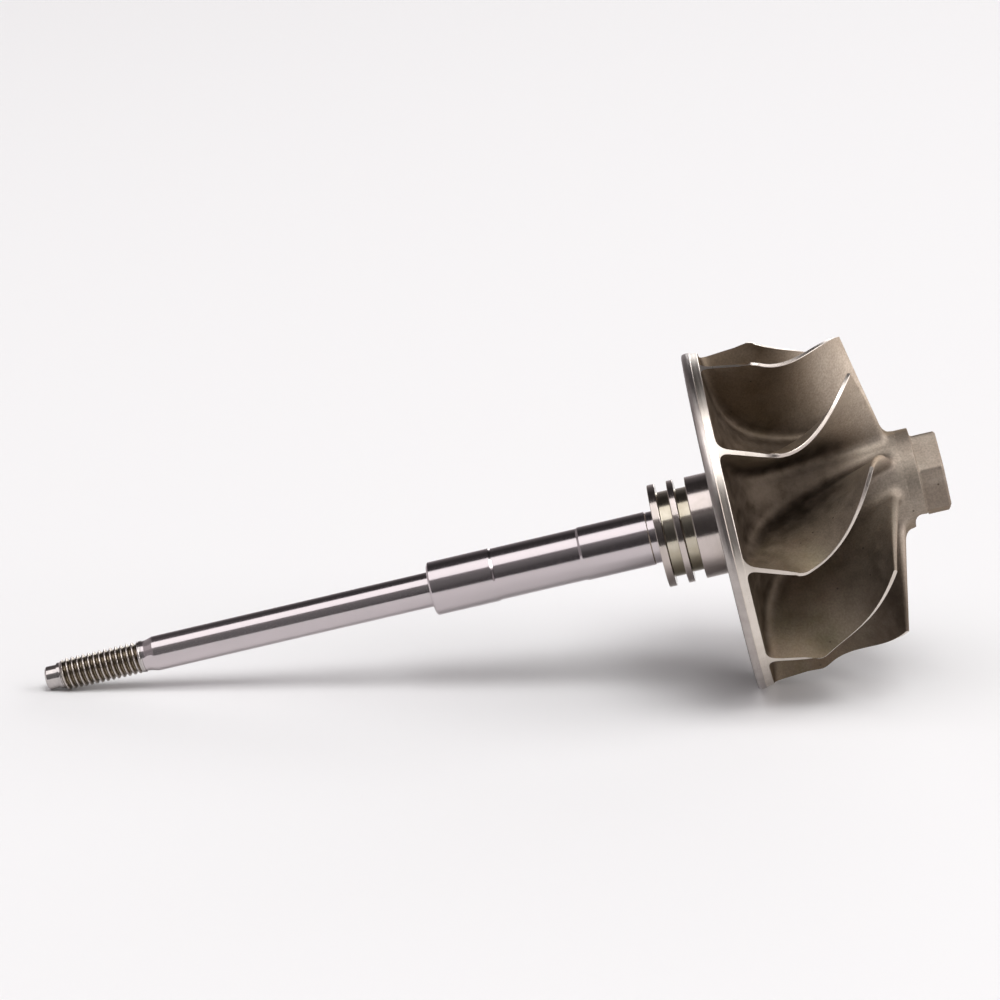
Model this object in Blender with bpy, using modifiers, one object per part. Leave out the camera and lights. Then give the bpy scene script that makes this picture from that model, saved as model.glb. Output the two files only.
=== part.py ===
"""Turbocharger rotor: a cast radial turbine wheel welded to a turned and ground steel shaft.

It lies as it would on a bench, on its thread and the back edge of its wheel, with the shaft rising
towards +X. Metres, +Z up. Every piece is made upright, about its own Z axis, and hangs from one
empty that lays the rotor down. A station is a distance along the axis from the thread's start.
"""

import math

import bmesh
import bpy
from mathutils import Vector

MM = 0.001
GAP = 0.2 * MM  # between neighbouring pieces, which are one piece of metal on the real rotor

# The shaft, from its tip to the wheel, with an M6 by 1 thread
PILOT_END = -3.2 * MM
PILOT_RADIUS = 2.1 * MM
PILOT_CHAMFER = 0.3 * MM
LEAD_IN_START = -0.9 * MM
LEAD_IN_RADIUS = 2.7 * MM
THREAD_START = 0.0 * MM
THREAD_RADIUS = 2.9 * MM
THREAD_ROOT_RADIUS = 2.35 * MM
PITCH = 1.0 * MM
CRESTS = 14
FIRST_CREST = THREAD_START + PITCH / 2 - PITCH / 16
RUN_OUT_START = 14.0 * MM
RUN_OUT_RADIUS = 2.8 * MM
RELIEF_START = 14.6 * MM
RELIEF_RADIUS = 2.7 * MM
RELIEF_TAPER_START = 15.3 * MM
SEAT_START = 16.7 * MM
SEAT_RADIUS = 3.1 * MM
JOURNAL_START = 67.1 * MM
JOURNAL_RADIUS = 4.76 * MM
JOURNAL_CHAMFER = 0.3 * MM
WAIST_START = 78.7 * MM
WAIST_RADIUS = 4.64 * MM
WAIST_END = 94.1 * MM
UNDERCUT_START = 106.6 * MM
UNDERCUT_RADIUS = 4.6 * MM

# The sealing end, with its two ring grooves
FRONT_LAND_START = 107.95 * MM
LAND_RADIUS = 9.14 * MM
LAND_CHAMFER = 0.15 * MM
FRONT_GROOVE_START = 109.3 * MM
FRONT_GROOVE_RADIUS = 7.57 * MM
MIDDLE_LAND_START = 111.4 * MM
REAR_GROOVE_START = 112.55 * MM
REAR_GROOVE_RADIUS = 7.43 * MM
BOSS_START = 114.6 * MM
BOSS_RADIUS = 9.05 * MM

# The wheel's full, unscalloped back disc
DISC_BACK = 118.9 * MM
DISC_RADIUS = 30.0 * MM
DISC_BACK_ROUNDING = 0.2 * MM
DISC_EDGE_LENGTH = 0.5 * MM  # of the rounded edge's last part, which lies flat on the bench
DISC_FRONT = 121.85 * MM
DISC_FRONT_RADIUS = 29.57 * MM

# Bezier handles of the blades' root on the hub and of their tip under the shroud: station, radius
# and how far the blade has turned about the axis from its foot on the rim
ROOT_LINE = (
    (DISC_FRONT, 29.5 * MM, 0.0),
    (122.6 * MM, 14.5 * MM, 0.0),
    (128.5 * MM, 11.0 * MM, math.radians(-8.0)),
    (149.1 * MM, 8.85 * MM, math.radians(-38.0)),
)
TIP_LINE = (
    (131.15 * MM, 29.9 * MM, math.radians(6.6)),
    (135.1 * MM, 27.0 * MM, math.radians(6.8)),
    (140.2 * MM, 26.95 * MM, math.radians(1.4)),
    (146.1 * MM, 26.85 * MM, math.radians(-23.1)),
)
BLADES = 9
FIRST_BLADE_ANGLE = math.radians(-127.7)
BLADE_ROOT_THICKNESS = 1.6 * MM
BLADE_TIP_THICKNESS = 0.8 * MM
BLADE_FOOT_GAP = 0.26 * MM  # over the hub's curve, wider than GAP to clear the hub's facets
BLADE_STATIONS = 14
BLADE_RISE_STEPS = 4
SLOPE_STEP = 0.001  # share of a blade's length or height over which its slope is measured
HUB_STEPS = 20
HUB_FOOT_FLARE = 1.6 * MM

# The nose, where the wheel is balanced and held
COLLAR_START = 149.1 * MM
COLLAR_RADIUS = 8.57 * MM
COLLAR_END = 154.15 * MM
BALANCE_CUT_START = 151.85 * MM
BALANCE_CUT_FLOOR = 6.57 * MM
BALANCE_CUT_ANGLE = math.radians(-14.0)
HEX_ACROSS_FLATS = 13.33 * MM
HEX_FIRST_CORNER = math.radians(10.4)
HEX_CHAMFER = 0.4 * MM
HEX_END = 158.6 * MM

# Sides of the turned pieces. They lie with a side down, except the disc, which rests on a corner.
FINE_SIDES = 60
SHAFT_SIDES = 36
THREAD_SIDES = 20
SHARP_ANGLE = math.radians(35.0)


def clear_scene():
    for obj in list(bpy.data.objects):
        bpy.data.objects.remove(obj)


def new_collection(name):
    collection = bpy.data.collections.new(name)
    bpy.context.scene.collection.children.link(collection)
    return collection


def metal(name, colour, roughness):
    material = bpy.data.materials.new(name)
    material.use_nodes = True
    shader = material.node_tree.nodes["Principled BSDF"]
    shader.inputs["Base Color"].default_value = (*colour, 1.0)
    shader.inputs["Metallic"].default_value = 1.0
    shader.inputs["Roughness"].default_value = roughness
    return material


def flat_down(sides):
    """The turn that points the middle of a side, and not a corner, towards the floor."""
    return math.pi / sides


def place(mesh, name, angle):
    """One piece of the rotor, turned by an angle about the rotor's axis."""
    piece = bpy.data.objects.new(name, mesh)
    piece.rotation_euler.z = angle
    piece.parent = rotor_axis
    rotor.objects.link(piece)
    return piece


def turned(name, outline, sides, material, angle=None):
    """A turned piece from its outline, a list of (station, radius) from the tip side to the nose."""
    points = [(outline[0][0], 0.0), *outline, (outline[-1][0], 0.0)]
    points.reverse()
    profile = bpy.data.meshes.new("profile")
    edges = [(i, i + 1) for i in range(len(points) - 1)]
    profile.from_pydata([(radius, 0.0, station) for station, radius in points], edges, [])
    spun = bpy.data.objects.new("spun_profile", profile)
    rotor.objects.link(spun)
    screw = spun.modifiers.new("turning", "SCREW")
    screw.steps = sides
    screw.render_steps = sides
    screw.use_merge_vertices = True
    screw.merge_threshold = 0.00001
    graph = bpy.context.evaluated_depsgraph_get()
    mesh = bpy.data.meshes.new_from_object(spun.evaluated_get(graph))
    mesh.name = name
    bpy.data.objects.remove(spun)
    bpy.data.meshes.remove(profile)
    mesh.shade_smooth()
    mesh.set_sharp_from_angle(angle=SHARP_ANGLE)
    mesh.materials.append(material)
    return place(mesh, name, flat_down(sides) if angle is None else angle)


def span(start, end):
    """A piece's two ends, each drawn back by half the gap to its neighbour."""
    return start + GAP / 2, end - GAP / 2


def bar(name, start, end, radius, sides, material, front_chamfer=0.0, back_chamfer=0.0):
    """A plain round length, with a chamfer at either end or none."""
    low, high = span(start, end)
    outline = [(low, radius - front_chamfer), (high, radius - back_chamfer)]
    if back_chamfer:
        outline.insert(1, (high - back_chamfer, radius))
    if front_chamfer:
        outline.insert(1, (low + front_chamfer, radius))
    return turned(name, outline, sides, material)


def pilot_tip():
    low, high = span(PILOT_END - GAP / 2, THREAD_START)
    outline = [
        (low, PILOT_RADIUS - PILOT_CHAMFER),
        (low + PILOT_CHAMFER, PILOT_RADIUS),
        (LEAD_IN_START, PILOT_RADIUS),
        (high, LEAD_IN_RADIUS),
    ]
    turned("pilot_tip", outline, THREAD_SIDES, thread_steel)


def threaded_end():
    """The thread as a row of ridges, each with a flat crest an eighth of the pitch wide, and its end."""
    outline = []
    for crest in range(CRESTS):
        middle = THREAD_START + (crest + 0.5) * PITCH
        outline += [
            (middle - 3 * PITCH / 8, THREAD_ROOT_RADIUS),
            (middle - PITCH / 16, THREAD_RADIUS),
            (middle + PITCH / 16, THREAD_RADIUS),
            (middle + 3 * PITCH / 8, THREAD_ROOT_RADIUS),
        ]
    outline += [(RUN_OUT_START, RUN_OUT_RADIUS), (RELIEF_START - GAP / 2, RUN_OUT_RADIUS)]
    turned("threaded_end", outline, THREAD_SIDES, thread_steel)


def thread_relief():
    low, high = span(RELIEF_START, SEAT_START)
    outline = [(low, RELIEF_RADIUS), (RELIEF_TAPER_START, RELIEF_RADIUS), (high, SEAT_RADIUS)]
    turned("thread_relief", outline, SHAFT_SIDES, ground_steel)


def shaft():
    pilot_tip()
    threaded_end()
    thread_relief()
    lengths = (
        ("compressor_seat", SEAT_START, JOURNAL_START, SEAT_RADIUS, 0.0),
        ("front_journal", JOURNAL_START, WAIST_START, JOURNAL_RADIUS, JOURNAL_CHAMFER),
        ("journal_waist", WAIST_START, WAIST_END, WAIST_RADIUS, 0.0),
        ("rear_journal", WAIST_END, UNDERCUT_START, JOURNAL_RADIUS, 0.0),
        ("journal_undercut", UNDERCUT_START, FRONT_LAND_START, UNDERCUT_RADIUS, 0.0),
    )
    for name, start, end, radius, chamfer in lengths:
        bar(name, start, end, radius, SHAFT_SIDES, ground_steel, chamfer)


def sealing_end():
    lands = (
        ("front_ring_land", FRONT_LAND_START, FRONT_GROOVE_START),
        ("middle_ring_land", MIDDLE_LAND_START, REAR_GROOVE_START),
    )
    grooves = (
        ("front_ring_groove", FRONT_GROOVE_START, MIDDLE_LAND_START, FRONT_GROOVE_RADIUS),
        ("rear_ring_groove", REAR_GROOVE_START, BOSS_START, REAR_GROOVE_RADIUS),
    )
    for name, start, end in lands:
        bar(name, start, end, LAND_RADIUS, FINE_SIDES, ground_steel, LAND_CHAMFER, LAND_CHAMFER)
    for name, start, end, radius in grooves:
        bar(name, start, end, radius, FINE_SIDES, ground_steel)
    bar("seal_boss", BOSS_START, DISC_BACK, BOSS_RADIUS, FINE_SIDES, ground_steel, LAND_CHAMFER)


def rest_pitch():
    """How far the axis climbs when the rotor lies on a flat of its first crest and its disc's edge."""
    thread_flat = THREAD_RADIUS * math.cos(flat_down(THREAD_SIDES))
    edge_end = DISC_BACK + GAP / 2 + DISC_BACK_ROUNDING + DISC_EDGE_LENGTH
    return math.atan2(DISC_RADIUS - thread_flat, edge_end - FIRST_CREST)


def back_disc():
    """The disc, turned so that a corner of its rim is towards the floor and keeps it from rolling."""
    low, high = DISC_BACK + GAP / 2, DISC_FRONT
    edge_drop = DISC_EDGE_LENGTH * math.tan(rest_pitch())
    outline = [
        (low, DISC_RADIUS - edge_drop - DISC_BACK_ROUNDING),
        (low + DISC_BACK_ROUNDING, DISC_RADIUS - edge_drop),
        (low + DISC_BACK_ROUNDING + DISC_EDGE_LENGTH, DISC_RADIUS),
        (high, DISC_FRONT_RADIUS),
    ]
    turned("back_disc", outline, FINE_SIDES, machined_alloy, 0.0)


def bezier(handles, share):
    """A point of the cubic through four handles, each a tuple of numbers."""
    rest = 1 - share
    weights = (rest**3, 3 * rest**2 * share, 3 * rest * share**2, share**3)
    return [sum(w * h for w, h in zip(weights, column)) for column in zip(*handles)]


def wheel_hub():
    """The flared hub, from the disc's face to the blades' trailing edges."""
    curve = [bezier(ROOT_LINE, step / HUB_STEPS)[:2] for step in range(HUB_STEPS + 1)]
    base = DISC_FRONT + GAP
    outline = [(station, radius) for station, radius in curve if station > base + GAP / 2]
    outline.insert(0, (base, outline[0][1] + HUB_FOOT_FLARE))
    outline[-1] = (COLLAR_START - GAP / 2, outline[-1][1])
    turned("wheel_hub", outline, FINE_SIDES, cast_alloy)


def blade_middle(along, rise):
    """A point halfway through a blade, from its rim end to its trailing edge and from root to tip."""
    root, tip = bezier(ROOT_LINE, along), bezier(TIP_LINE, along)
    start = BLADE_FOOT_GAP / math.dist(root[:2], tip[:2])
    share = start + (1 - start) * rise
    station, radius, turn = [a + (b - a) * share for a, b in zip(root, tip)]
    return Vector((radius * math.cos(turn), radius * math.sin(turn), station))


def blade_mesh():
    """A loft from the blade's foot on the rim to its trailing edge, thinner at the tip."""
    grid = bmesh.new()
    sheets = []
    for side in (1, -1):
        sheet = []
        for i in range(BLADE_STATIONS + 1):
            along = i / BLADE_STATIONS
            row = []
            for j in range(BLADE_RISE_STEPS + 1):
                rise = j / BLADE_RISE_STEPS
                middle = blade_middle(along, rise)
                along_step = blade_middle(along + SLOPE_STEP, rise) - middle
                rise_step = blade_middle(along, rise + SLOPE_STEP) - middle
                normal = along_step.cross(rise_step).normalized()
                thickness = BLADE_ROOT_THICKNESS + (BLADE_TIP_THICKNESS - BLADE_ROOT_THICKNESS) * rise
                row.append(grid.verts.new(middle + normal * side * thickness / 2))
            sheet.append(row)
        sheets.append(sheet)
    front, back = sheets
    for i in range(BLADE_STATIONS):
        for j in range(BLADE_RISE_STEPS):
            grid.faces.new((front[i][j], front[i + 1][j], front[i + 1][j + 1], front[i][j + 1]))
            grid.faces.new((back[i][j], back[i][j + 1], back[i + 1][j + 1], back[i + 1][j]))
        for j, turn in ((0, 1), (BLADE_RISE_STEPS, -1)):
            wall = (front[i][j], back[i][j], back[i + 1][j], front[i + 1][j])
            grid.faces.new(wall[::turn])
    for j in range(BLADE_RISE_STEPS):
        for i, turn in ((0, -1), (BLADE_STATIONS, 1)):
            wall = (front[i][j], back[i][j], back[i][j + 1], front[i][j + 1])
            grid.faces.new(wall[::turn])
    bmesh.ops.recalc_face_normals(grid, faces=grid.faces)
    mesh = bpy.data.meshes.new("blade")
    grid.to_mesh(mesh)
    grid.free()
    mesh.shade_smooth()
    mesh.set_sharp_from_angle(angle=SHARP_ANGLE)
    return mesh


def blades():
    mesh = blade_mesh()
    mesh.materials.append(cast_alloy)
    for number in range(BLADES):
        place(mesh, f"blade_{number + 1}", FIRST_BLADE_ANGLE + number * math.tau / BLADES)


def balance_cutter():
    """A block over the collar's front corner, as long as the cut that the grinding wheel left."""
    size = Vector((BOSS_RADIUS, 3 * BOSS_RADIUS, 2 * (COLLAR_END - BALANCE_CUT_START)))
    block = bmesh.new()
    bmesh.ops.create_cube(block, size=1.0)
    bmesh.ops.scale(block, vec=size, verts=block.verts)
    middle = (BALANCE_CUT_FLOOR + size.x / 2, 0.0, BALANCE_CUT_START + size.z / 2)
    bmesh.ops.translate(block, vec=middle, verts=block.verts)
    mesh = bpy.data.meshes.new("balance_cutter")
    block.to_mesh(mesh)
    block.free()
    cutter = bpy.data.objects.new("balance_cutter", mesh)
    cutter.rotation_euler.z = BALANCE_CUT_ANGLE
    cutter.parent = rotor_axis
    cutter.hide_render = True
    cutter.display_type = "WIRE"
    cutters.objects.link(cutter)
    return cutter


def nose():
    """The collar, ground away on one side to balance the wheel, and the hexagon that turns it."""
    low, high = span(COLLAR_START, COLLAR_END)
    outline = [(low, ROOT_LINE[-1][1]), (low + GAP, COLLAR_RADIUS), (high, COLLAR_RADIUS)]
    collar = turned("nose_collar", outline, FINE_SIDES, cast_alloy)
    cut = collar.modifiers.new("balance cut", "BOOLEAN")
    cut.operation = "DIFFERENCE"
    cut.solver = "EXACT"
    cut.object = balance_cutter()

    low = COLLAR_END + GAP / 2
    corner = HEX_ACROSS_FLATS / 2 / math.cos(math.pi / 6)
    outline = [(low, corner), (HEX_END - HEX_CHAMFER, corner), (HEX_END, corner - HEX_CHAMFER)]
    turned("hex_nose", outline, 6, cast_alloy, HEX_FIRST_CORNER)


def lay_down():
    """Tilts the rotor on to its thread and disc, and centres its box on the origin."""
    thread_flat = THREAD_RADIUS * math.cos(flat_down(THREAD_SIDES))
    pitch_up = rest_pitch()
    rise, run = math.sin(pitch_up), math.cos(pitch_up)
    tip_flat = (PILOT_RADIUS - PILOT_CHAMFER) * math.cos(flat_down(THREAD_SIDES))
    corner = HEX_ACROSS_FLATS / 2 / math.cos(math.pi / 6) - HEX_CHAMFER
    box_start = PILOT_END * run - tip_flat * rise
    box_end = HEX_END * run + corner * math.cos(HEX_FIRST_CORNER) * rise
    rotor_axis.rotation_euler.y = math.pi / 2 - pitch_up
    rotor_axis.location.x = -(box_start + box_end) / 2
    rotor_axis.location.z = thread_flat * run - FIRST_CREST * rise


clear_scene()
rotor = new_collection("turbocharger_rotor")
cutters = new_collection("cutters")
rotor_axis = bpy.data.objects.new("rotor_axis", None)
rotor.objects.link(rotor_axis)

ground_steel = metal("ground_steel", (0.62, 0.59, 0.60), 0.18)
thread_steel = metal("thread_steel", (0.36, 0.33, 0.30), 0.32)
machined_alloy = metal("machined_alloy", (0.55, 0.52, 0.49), 0.35)
cast_alloy = metal("cast_alloy", (0.27, 0.24, 0.21), 0.55)

shaft()
sealing_end()
back_disc()
wheel_hub()
blades()
nose()
lay_down()
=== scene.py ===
"""A turbocharger's turbine rotor: a cast wheel with nine blades, welded to a turned and ground shaft.

Metres, +Z up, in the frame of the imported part. Each piece is made upright in the rotor's own frame, in
millimetres, with the rotor's axis as Z and stations counted from the thread's start. It is then
laid down as the rotor lies, on its thread and the back edge of its wheel.
"""

import math

import bmesh
import bpy
import numpy as np
from mathutils import Matrix, Vector


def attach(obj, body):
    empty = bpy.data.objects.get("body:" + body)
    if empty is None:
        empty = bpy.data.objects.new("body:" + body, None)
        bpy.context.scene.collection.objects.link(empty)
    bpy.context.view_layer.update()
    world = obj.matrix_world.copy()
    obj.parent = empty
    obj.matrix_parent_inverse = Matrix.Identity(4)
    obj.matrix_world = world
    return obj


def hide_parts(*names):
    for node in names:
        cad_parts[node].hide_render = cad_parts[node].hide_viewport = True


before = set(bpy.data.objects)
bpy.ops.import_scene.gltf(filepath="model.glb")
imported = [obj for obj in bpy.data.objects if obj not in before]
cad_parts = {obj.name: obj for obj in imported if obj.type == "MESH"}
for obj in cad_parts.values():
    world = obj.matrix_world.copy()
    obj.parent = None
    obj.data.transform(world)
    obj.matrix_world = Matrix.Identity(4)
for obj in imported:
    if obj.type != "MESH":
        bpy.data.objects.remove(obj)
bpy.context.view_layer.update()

scene = bpy.context.scene
scene.view_settings.view_transform = "Standard"

# The camera
# A long lens, a little above the bench and almost square to the rotor's length.
CAMERA_RISE = math.radians(13.99)
CAMERA_TURN = math.radians(-1.593)
CAMERA_ROLL = math.radians(-1.118)
CAMERA_DISTANCE = 0.6152
CAMERA_NEAREST = 0.01
CAMERA_LENS, CAMERA_SENSOR = 126.98, 36.0
CAMERA_AIM = Vector((0.00136, 0.0, 0.03354))


def in_scene(name, data):
    """An object made from its data and put in the scene."""
    thing = bpy.data.objects.new(name, data)
    scene.collection.objects.link(thing)
    return thing


camera = in_scene("camera", bpy.data.cameras.new("camera"))
camera.data.sensor_width = CAMERA_SENSOR
camera.data.lens = CAMERA_LENS
camera.data.clip_start = CAMERA_NEAREST
scene.camera = camera
camera_turned = (
    Matrix.Rotation(-CAMERA_TURN, 4, "Z")
    @ Matrix.Rotation(math.pi / 2 - CAMERA_RISE, 4, "X")
    @ Matrix.Rotation(CAMERA_ROLL, 4, "Z")
)
camera_place = CAMERA_AIM + camera_turned.to_3x3() @ Vector((0.0, 0.0, CAMERA_DISTANCE))
camera.matrix_world = Matrix.Translation(camera_place) @ camera_turned

# The bench
# A sheet of matt white card. It fills the view, and its front edge lies just out of sight.
CARD_FRONT, CARD_BACK, CARD_HALF_WIDTH = -0.2, 3.0, 3.0
CARD_COLOUR = (0.84, 0.84, 0.84, 1.0)
CARD_ROUGHNESS, CARD_SHINE = 0.9, 0.1
CARD_GRAIN, CARD_GRAIN_DEPTH = 900.0, 0.00001


def mesh_from(name, cut):
    """A plain mesh from a bmesh, which is freed."""
    mesh = bpy.data.meshes.new(name)
    cut.to_mesh(mesh)
    cut.free()
    return mesh


def set_inputs(tree, node, inputs):
    """Links or sets a node's inputs, each by its name or number, from a socket or a value."""
    for slot, value in inputs.items():
        if isinstance(value, bpy.types.NodeSocket):
            tree.links.new(value, node.inputs[slot])
        else:
            node.inputs[slot].default_value = value


def node_in(tree, kind, inputs, **settings):
    """A new node of a tree, with its settings and its inputs."""
    node = tree.nodes.new(kind)
    for name, value in settings.items():
        setattr(node, name, value)
    set_inputs(tree, node, inputs)
    return node


def made_in(tree, kind, inputs, **settings):
    """What comes out first of a new node."""
    return node_in(tree, kind, inputs, **settings).outputs[0]


def new_material(name):
    """A material, its tree and its shader."""
    material = bpy.data.materials.new(name)
    material.use_nodes = True
    return material, material.node_tree, material.node_tree.nodes["Principled BSDF"]


card_corners = (
    (-CARD_HALF_WIDTH, CARD_FRONT),
    (CARD_HALF_WIDTH, CARD_FRONT),
    (CARD_HALF_WIDTH, CARD_BACK),
    (-CARD_HALF_WIDTH, CARD_BACK),
)
bench_cut = bmesh.new()
bench_cut.faces.new([bench_cut.verts.new((x, y, 0.0)) for x, y in card_corners])
bench = in_scene("bench", mesh_from("bench", bench_cut))

card, tree, shader = new_material("matt_white_card")
card_place = node_in(tree, "ShaderNodeTexCoord", {}).outputs["Object"]
card_grain = made_in(tree, "ShaderNodeTexNoise", {"Vector": card_place, "Scale": CARD_GRAIN})
card_bump = made_in(tree, "ShaderNodeBump", {"Height": card_grain, "Distance": CARD_GRAIN_DEPTH})
set_inputs(tree, shader, {
    "Base Color": CARD_COLOUR,
    "Roughness": CARD_ROUGHNESS,
    "Specular IOR Level": CARD_SHINE,
    "Normal": card_bump,
})
bench.data.materials.append(card)

# The studio
# Soft boxes on stands in a dim room. The polished steel mirrors the long one above it. The key box beside
# it casts the shadows, and a grey screen stands in front on the left.

# Each box or screen: how far round from the front over the top its middle is, how far to the right, how
# tall and how wide it looks from the rotor, all in degrees, and its radiance
SOFT_BOXES = (
    ("long_box", 73.0, -6.0, 42.0, 52.0, 1.35),
    ("key_box", 67.0, 10.0, 38.0, 23.0, 4.2),
    ("side_box", 80.0, 60.0, 50.0, 44.0, 2.1),
    ("back_box", 165.0, 22.0, 24.0, 46.0, 2.6),
    ("grey_screen", 20.0, -20.0, 44.0, 23.0, 0.12),
)
SOFT_BOX_DISTANCE = 6.0
# How far round from the front, over the top, in half turns, and how bright the room is there
ROOM = (
    (0.0, 0.04), (0.2, 0.04), (0.3, 0.25), (0.5, 0.3), (0.56, 0.015), (0.72, 0.015), (0.86, 0.12), (1.0, 0.5)
)
# How far to the right, from -1 to 1 as 0 to 1, and what the room's sides add there
ROOM_SIDES = ((0.0, 0.3), (0.26, 0.25), (0.33, 0.03), (0.53, 0.0), (0.7, 0.0), (0.8, 0.5), (1.0, 0.8))
ROOM_TINT = (1.0, 0.92, 0.95)


def maths(tree, operation, first, second=0.0):
    """What a Math node makes of two sockets or numbers."""
    return made_in(tree, "ShaderNodeMath", {0: first, 1: second}, operation=operation)


def ranged(tree, value, start, end, low, high, **settings):
    """Runs from low to high while a value runs from start to end, and stays within them beyond that."""
    ends = {"From Min": start, "From Max": end, "To Min": low, "To Max": high}
    return made_in(tree, "ShaderNodeMapRange", {"Value": value, **ends}, **settings)


for box_name, *box_angles, box_radiance in SOFT_BOXES:
    box_rise, box_right, box_height, box_width = (math.radians(angle) for angle in box_angles)
    box_light = bpy.data.lights.new(box_name, "AREA")
    box_light.shape = "RECTANGLE"
    box_light.size = 2 * SOFT_BOX_DISTANCE * math.tan(box_width / 2)
    box_light.size_y = 2 * SOFT_BOX_DISTANCE * math.tan(box_height / 2)
    box_light.energy = box_radiance * math.pi * box_light.size * box_light.size_y
    in_scene(box_name, box_light).matrix_world = (
        Matrix.Rotation(-box_rise, 4, "X")
        @ Matrix.Rotation(box_right, 4, "Z")
        @ Matrix.Translation((0.0, -SOFT_BOX_DISTANCE, 0.0))
        @ Matrix.Rotation(math.pi / 2, 4, "X")
    )

scene.world = bpy.data.worlds.new("room")
scene.world.use_nodes = True
tree = scene.world.node_tree
way = node_in(tree, "ShaderNodeTexCoord", {}).outputs["Generated"]
way_parts = node_in(tree, "ShaderNodeSeparateXYZ", {0: way}).outputs
to_front = maths(tree, "MULTIPLY", way_parts["Y"], -1.0)
half_turns = maths(tree, "DIVIDE", maths(tree, "ARCTAN2", way_parts["Z"], to_front), math.pi)
to_right = ranged(tree, way_parts["X"], -1.0, 1.0, 0.0, 1.0)
room_light = []
for share, brightness_at in ((half_turns, ROOM), (to_right, ROOM_SIDES)):
    ramp = node_in(tree, "ShaderNodeValToRGB", {"Fac": share})
    stops = ramp.color_ramp.elements
    while len(stops) < len(brightness_at):
        stops.new(1.0)
    for stop, (position, brightness) in zip(stops, brightness_at):
        stop.position = position
        stop.color = (*(brightness * tint for tint in ROOM_TINT), 1.0)
    room_light.append(ramp.outputs["Color"])
added = {"Factor": 1.0, 6: room_light[0], 7: room_light[1]}
all_round = node_in(tree, "ShaderNodeMix", added, data_type="RGBA", blend_type="ADD")
set_inputs(tree, tree.nodes["Background"], {"Color": all_round.outputs[2]})

# The ground shaft
# One bar of alloy steel, turned and then ground between centres: the slim seat of the compressor wheel,
# the two bearing journals with the relieved length between them, and the undercut behind them.
MM = 0.001
PITCH_UP = math.radians(12.8182)
AXIS_START = Vector((-0.0763625, 0.0, 0.0026959))
SHAFT_SIDES = 144
# The steps of each rounded corner, and how close beside it a point keeps the straight run true
ARC_STEPS, HOLD = 4, 0.05
SHARP_ANGLE = math.radians(32.0)
WELD = 0.0005
RELIEF_START, RELIEF_RADIUS, RELIEF_TAPER_START = 14.6, 2.7, 15.3
SEAT_START, SEAT_RADIUS = 16.7, 3.1
JOURNAL_START, JOURNAL_RADIUS, JOURNAL_CHAMFER = 67.1, 4.76, 0.3
WAIST_START, WAIST_RADIUS, WAIST_END, WAIST_RAMP = 78.75, 4.62, 94.05, 0.4
UNDERCUT_START, UNDERCUT_RADIUS, UNDERCUT_END, UNDERCUT_RAMP = 106.6, 4.6, 108.1, 0.15
GROUND_TONES = (0.585, 0.525, 0.54), (0.55, 0.50, 0.51)
GROUND_ROUGHNESS = 0.12, 0.19
NOISE_RANGE = 0.3, 0.7

laid_down = (
    Matrix.Translation(AXIS_START)
    @ Matrix.Rotation(math.pi / 2 - PITCH_UP, 4, "Y")
    @ Matrix.Scale(MM, 4)
)


def bent(start, corner, end, share):
    """A point of the arc from start to end that leaves and arrives in the direction of the corner."""
    return start * (1 - share) ** 2 + corner * 2 * share * (1 - share) + end * share**2


def rounded(outline):
    """Replaces each corner of an outline of (station, radius, rounding) by an arc held by close points."""
    points = []
    for before, corner, after in zip(outline, outline[1:], outline[2:]):
        middle, rounding = Vector(corner[:2]), corner[2]
        if not rounding:
            points.append(middle)
            continue
        ways = [(Vector(neighbour[:2]) - middle).normalized() for neighbour in (before, after)]
        start, end = (middle + way * rounding for way in ways)
        hold_start, hold_end = (middle + way * (rounding + HOLD) for way in ways)
        arc = [bent(start, middle, end, step / ARC_STEPS) for step in range(ARC_STEPS + 1)]
        points += [hold_start, *arc, hold_end]
    return [Vector(outline[0][:2]), *points, Vector(outline[-1][:2])]


def on_rotor(name, cut, materials):
    """Turns a bmesh of the rotor's frame into a finished piece that rides on the rotor."""
    bmesh.ops.remove_doubles(cut, verts=cut.verts, dist=WELD)
    bmesh.ops.recalc_face_normals(cut, faces=cut.faces)
    mesh = mesh_from(name, cut)
    mesh.transform(laid_down)
    mesh.shade_smooth()
    mesh.set_sharp_from_angle(angle=SHARP_ANGLE)
    for material in materials:
        mesh.materials.append(material)
    piece = in_scene(name, mesh)
    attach(piece, "root")
    return piece


def full_turn(sides, first=0.0):
    """Evenly spaced angles round the axis."""
    return [first + math.tau * k / sides for k in range(sides)]


def ring(cut, station, radius, turns):
    """Vertices round the axis. The radius is a number or follows from the angle, and 0 is one vertex."""
    if radius == 0.0:
        return [cut.verts.new((0.0, 0.0, station))] * len(turns)
    radii = [radius(t) if callable(radius) else radius for t in turns]
    return [cut.verts.new((r * math.cos(t), r * math.sin(t), station)) for r, t in zip(radii, turns)]


def close_between(cut, rings):
    """Faces between each ring of vertices and the next."""
    for low, high in zip(rings, rings[1:]):
        for k in range(len(low)):
            cut.faces.new(list(dict.fromkeys([low[k], low[k - 1], high[k - 1], high[k]])))


def turned(outline, sides):
    """The skin that a lathe would leave from an outline of (station, radius, rounding), both ends closed."""
    cut = bmesh.new()
    points = rounded([(outline[0][0], 0.0, 0.0), *outline, (outline[-1][0], 0.0, 0.0)])
    close_between(cut, [ring(cut, station, radius, full_turn(sides)) for station, radius in points])
    return cut


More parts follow.
